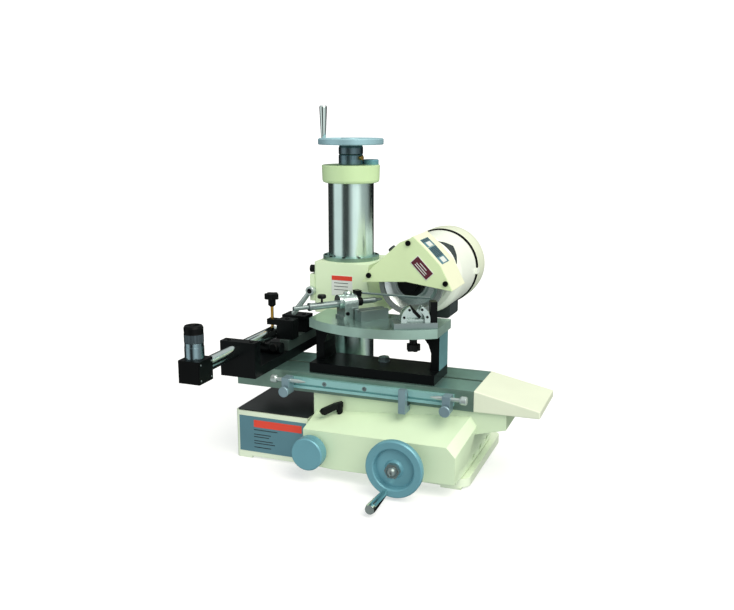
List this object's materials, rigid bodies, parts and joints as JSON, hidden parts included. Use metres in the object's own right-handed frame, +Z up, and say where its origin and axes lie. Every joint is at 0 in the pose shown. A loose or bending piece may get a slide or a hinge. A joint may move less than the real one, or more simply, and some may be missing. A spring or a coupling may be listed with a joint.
{
  "type": "bench tool and cutter grinder",
  "caption": "Bench tool and cutter grinder with a height-adjustable wheel head on a column, a cross slide and table, a drill fixture on a work plate and an inspection microscope.",
  "frame": {"origin": "centre of the base footprint at floor level", "axes": "+Z up, +X to the operator's right along the table, -Y towards the operator"},
  "size_m": [0.581, 0.626, 0.666],
  "materials": {
    "cream_paint": "semi-gloss enamel",
    "black_paint": "satin",
    "black_steel": "black oxide",
    "blue_grey": "satin",
    "chrome": "polished",
    "steel": "brushed",
    "dark_steel": "ground",
    "brass": "satin",
    "wheel_aluminium": "satin",
    "abrasive": "gritty",
    "cast_iron": "as cast",
    "black_plastic": "matte"
  },
  "bodies": {
    "base": {"base_casting": "cream_paint", "base_cover": "black_paint", "column": "chrome", "column_cap": "cream_paint"},
    "saddle": {"saddle": "cream_paint", "saddle_fittings": "black_paint"},
    "front_wheel": {"front_handwheel": "blue_grey", "cross_feed_screw": "steel"},
    "front_handle": {"front_handle": "chrome"},
    "traverse_knob": {"table_knob": "blue_grey"},
    "idler": {"idler_gear": "steel"},
    "lock_lever": {"saddle_lock_lever": "black_steel"},
    "table": {"table": "dark_steel", "table_end_cover": "cream_paint", "dog_rail": "dark_steel", "table_fasteners": "chrome", "plate_bracket": "black_paint", "work_plate": "dark_steel", "fixture_bracket": "chrome", "guide_block": "black_paint", "stop_bar": "steel", "arm_base": "black_paint", "arm_blocks": "black_paint"},
    "left_dog": {"left_dog": "black_steel"},
    "left_stop_screw": {"left_stop_screw": "black_steel"},
    "left_clamp_screw": {"left_clamp_screw": "black_steel"},
    "right_dog": {"right_dog": "black_steel"},
    "right_stop_screw": {"right_stop_screw": "black_steel"},
    "right_clamp_screw": {"right_clamp_screw": "black_steel"},
    "steady": {"steady_base": "steel", "steady_arch": "chrome", "steady_post": "black_paint"},
    "steady_knob": {"steady_knob": "black_steel"},
    "drill_tube": {"drill_tube": "steel", "drill": "steel"},
    "tube_thumbscrew": {"tube_thumbscrew": "steel"},
    "head": {"head_casting": "cream_paint", "head_ring": "dark_steel", "head_fasteners": "black_steel", "elevating_nut": "brass", "motor_foot": "cast_iron", "motor_body": "cream_paint", "motor_rear_cover": "cream_paint", "guard_housing": "cream_paint", "guard_front_plate": "cream_paint"},
    "clamp_lever": {"clamp_lever": "steel"},
    "head_lock_screw": {"head_lock_screw": "black_steel"},
    "spindle": {"spindle": "steel", "wheel_body": "wheel_aluminium", "abrasive_ring": "abrasive"},
    "top_wheel": {"elevating_screw": "steel", "top_handwheel": "blue_grey"},
    "top_handle": {"top_handle": "chrome"},
    "dial_ring": {"dial_ring": "steel"},
    "dial_lock_screw": {"dial_lock_screw": "brass"},
    "star_knob": {"star_knob": "black_plastic"},
    "focus_knob": {"focus_knob": "black_plastic"},
    "scope": {"scope_tube": "chrome", "prism_box": "black_paint"},
    "eyepiece": {"eyepiece_grip": "black_plastic"}
  },
  "joints": [
    {"name": "saddle_slide", "type": "slide", "parent": "base", "child": "saddle", "axis": [0, 1, 0], "range_m": [-0.06, 0.004]},
    {"name": "front_wheel_turn", "type": "hinge", "parent": "saddle", "child": "front_wheel", "pos_m": [0.122, -0.2, 0.057], "axis": [0, 1, 0], "range_deg": [-5401, 361]},
    {"name": "front_handle_spin", "type": "hinge", "parent": "front_wheel", "child": "front_handle", "pos_m": [0.108, -0.25, 0.015], "axis": [0, 1, 0], "continuous": true},
    {"name": "table_slide", "type": "slide", "parent": "saddle", "child": "table", "axis": [1, 0, 0], "range_m": [-0.025, 0.028]},
    {"name": "traverse_knob_turn", "type": "hinge", "parent": "saddle", "child": "traverse_knob", "pos_m": [-0.0469, -0.19, 0.0553], "axis": [0, 1, 0], "range_deg": [-100, 90]},
    {"name": "idler_turn", "type": "hinge", "parent": "saddle", "child": "idler", "pos_m": [-0.0469, -0.098, 0.0881], "axis": [0, 1, 0], "range_deg": [-90, 100]},
    {"name": "lock_lever_turn", "type": "hinge", "parent": "saddle", "child": "lock_lever", "pos_m": [-0.017, -0.121, 0.12], "axis": [0, 0, 1], "range_deg": [0, 40]},
    {"name": "left_dog_slide", "type": "slide", "parent": "table", "child": "left_dog", "axis": [1, 0, 0], "range_m": [0, 0.09]},
    {"name": "left_stop_screw_turn", "type": "hinge", "parent": "left_dog", "child": "left_stop_screw", "pos_m": [-0.114, -0.1403, 0.1685], "axis": [1, 0, 0], "range_deg": [-180, 180]},
    {"name": "left_clamp_screw_turn", "type": "hinge", "parent": "left_dog", "child": "left_clamp_screw", "pos_m": [-0.114, -0.145, 0.15], "axis": [0, 1, 0], "range_deg": [-180, 180]},
    {"name": "right_dog_slide", "type": "slide", "parent": "table", "child": "right_dog", "axis": [1, 0, 0], "range_m": [-0.015, 0.005]},
    {"name": "right_stop_screw_turn", "type": "hinge", "parent": "right_dog", "child": "right_stop_screw", "pos_m": [0.193, -0.1403, 0.1685], "axis": [1, 0, 0], "range_deg": [-180, 180]},
    {"name": "right_clamp_screw_turn", "type": "hinge", "parent": "right_dog", "child": "right_clamp_screw", "pos_m": [0.193, -0.145, 0.15], "axis": [0, 1, 0], "range_deg": [-180, 180]},
    {"name": "steady_swing", "type": "hinge", "parent": "table", "child": "steady", "pos_m": [0.0375, 0.057, 0.28], "axis": [0, 0, 1], "range_deg": [-8, 2]},
    {"name": "steady_knob_turn", "type": "hinge", "parent": "steady", "child": "steady_knob", "pos_m": [0.11649, -0.09803, 0.25], "axis": [0, 0, 1], "range_deg": [-180, 180]},
    {"name": "drill_tube_turn", "type": "hinge", "parent": "table", "child": "drill_tube", "pos_m": [-0.03828, -0.0886, 0.3077], "axis": [0.6428, 0.766, 0], "range_deg": [-90, 90]},
    {"name": "tube_thumbscrew_turn", "type": "hinge", "parent": "drill_tube", "child": "tube_thumbscrew", "pos_m": [-0.05563, -0.10929, 0.32], "axis": [0, 0, 1], "range_deg": [-180, 180]},
    {"name": "head_slide", "type": "slide", "parent": "base", "child": "head", "axis": [0, 0, 1], "range_m": [-0.005, 0.12]},
    {"name": "clamp_lever_turn", "type": "hinge", "parent": "head", "child": "clamp_lever", "pos_m": [-0.127, 0, 0.311], "axis": [0, 1, 0], "range_deg": [0, 60]},
    {"name": "head_lock_screw_turn", "type": "hinge", "parent": "head", "child": "head_lock_screw", "pos_m": [-0.128, 0.011, 0.353], "axis": [1, 0, 0], "range_deg": [-180, 180]},
    {"name": "spindle_turn", "type": "hinge", "parent": "head", "child": "spindle", "pos_m": [0.078, 0.02, 0.34], "axis": [0, 1, 0], "continuous": true},
    {"name": "top_wheel_turn", "type": "hinge", "parent": "base", "child": "top_wheel", "pos_m": [-0.07, 0.068, 0.59], "axis": [0, 0, 1], "range_deg": [-361, 8643]},
    {"name": "top_handle_spin", "type": "hinge", "parent": "top_wheel", "child": "top_handle", "pos_m": [-0.1196, 0.0488, 0.64], "axis": [0, 0, 1], "continuous": true},
    {"name": "dial_ring_turn", "type": "hinge", "parent": "top_wheel", "child": "dial_ring", "pos_m": [-0.07, 0.068, 0.563], "axis": [0, 0, 1], "range_deg": [-180, 180]},
    {"name": "dial_lock_screw_turn", "type": "hinge", "parent": "dial_ring", "child": "dial_lock_screw", "pos_m": [-0.05121, 0.06116, 0.567], "axis": [0.9397, -0.342, 0], "range_deg": [-180, 180]},
    {"name": "star_knob_turn", "type": "hinge", "parent": "table", "child": "star_knob", "pos_m": [-0.195, -0.038, 0.29], "axis": [0, 0, 1], "range_deg": [-180, 180]},
    {"name": "focus_knob_turn", "type": "hinge", "parent": "table", "child": "focus_knob", "pos_m": [-0.168, -0.088, 0.212], "axis": [0, 1, 0], "range_deg": [-180, 180]},
    {"name": "scope_slide", "type": "slide", "parent": "table", "child": "scope", "axis": [0, 1, 0], "range_m": [-0.03, 0.01]},
    {"name": "eyepiece_turn", "type": "hinge", "parent": "scope", "child": "eyepiece", "pos_m": [-0.196, -0.319, 0.29], "axis": [0, 0, 1], "range_deg": [-120, 120]}
  ],
  "couplings": [
    {"joint": "front_wheel_turn", "follows": "saddle_slide", "rad_per_m": 1570.8},
    {"joint": "idler_turn", "follows": "table_slide", "rad_per_m": 60.976},
    {"joint": "traverse_knob_turn", "follows": "table_slide", "rad_per_m": -60.976},
    {"joint": "top_wheel_turn", "follows": "head_slide", "rad_per_m": 1256.6}
  ]
}
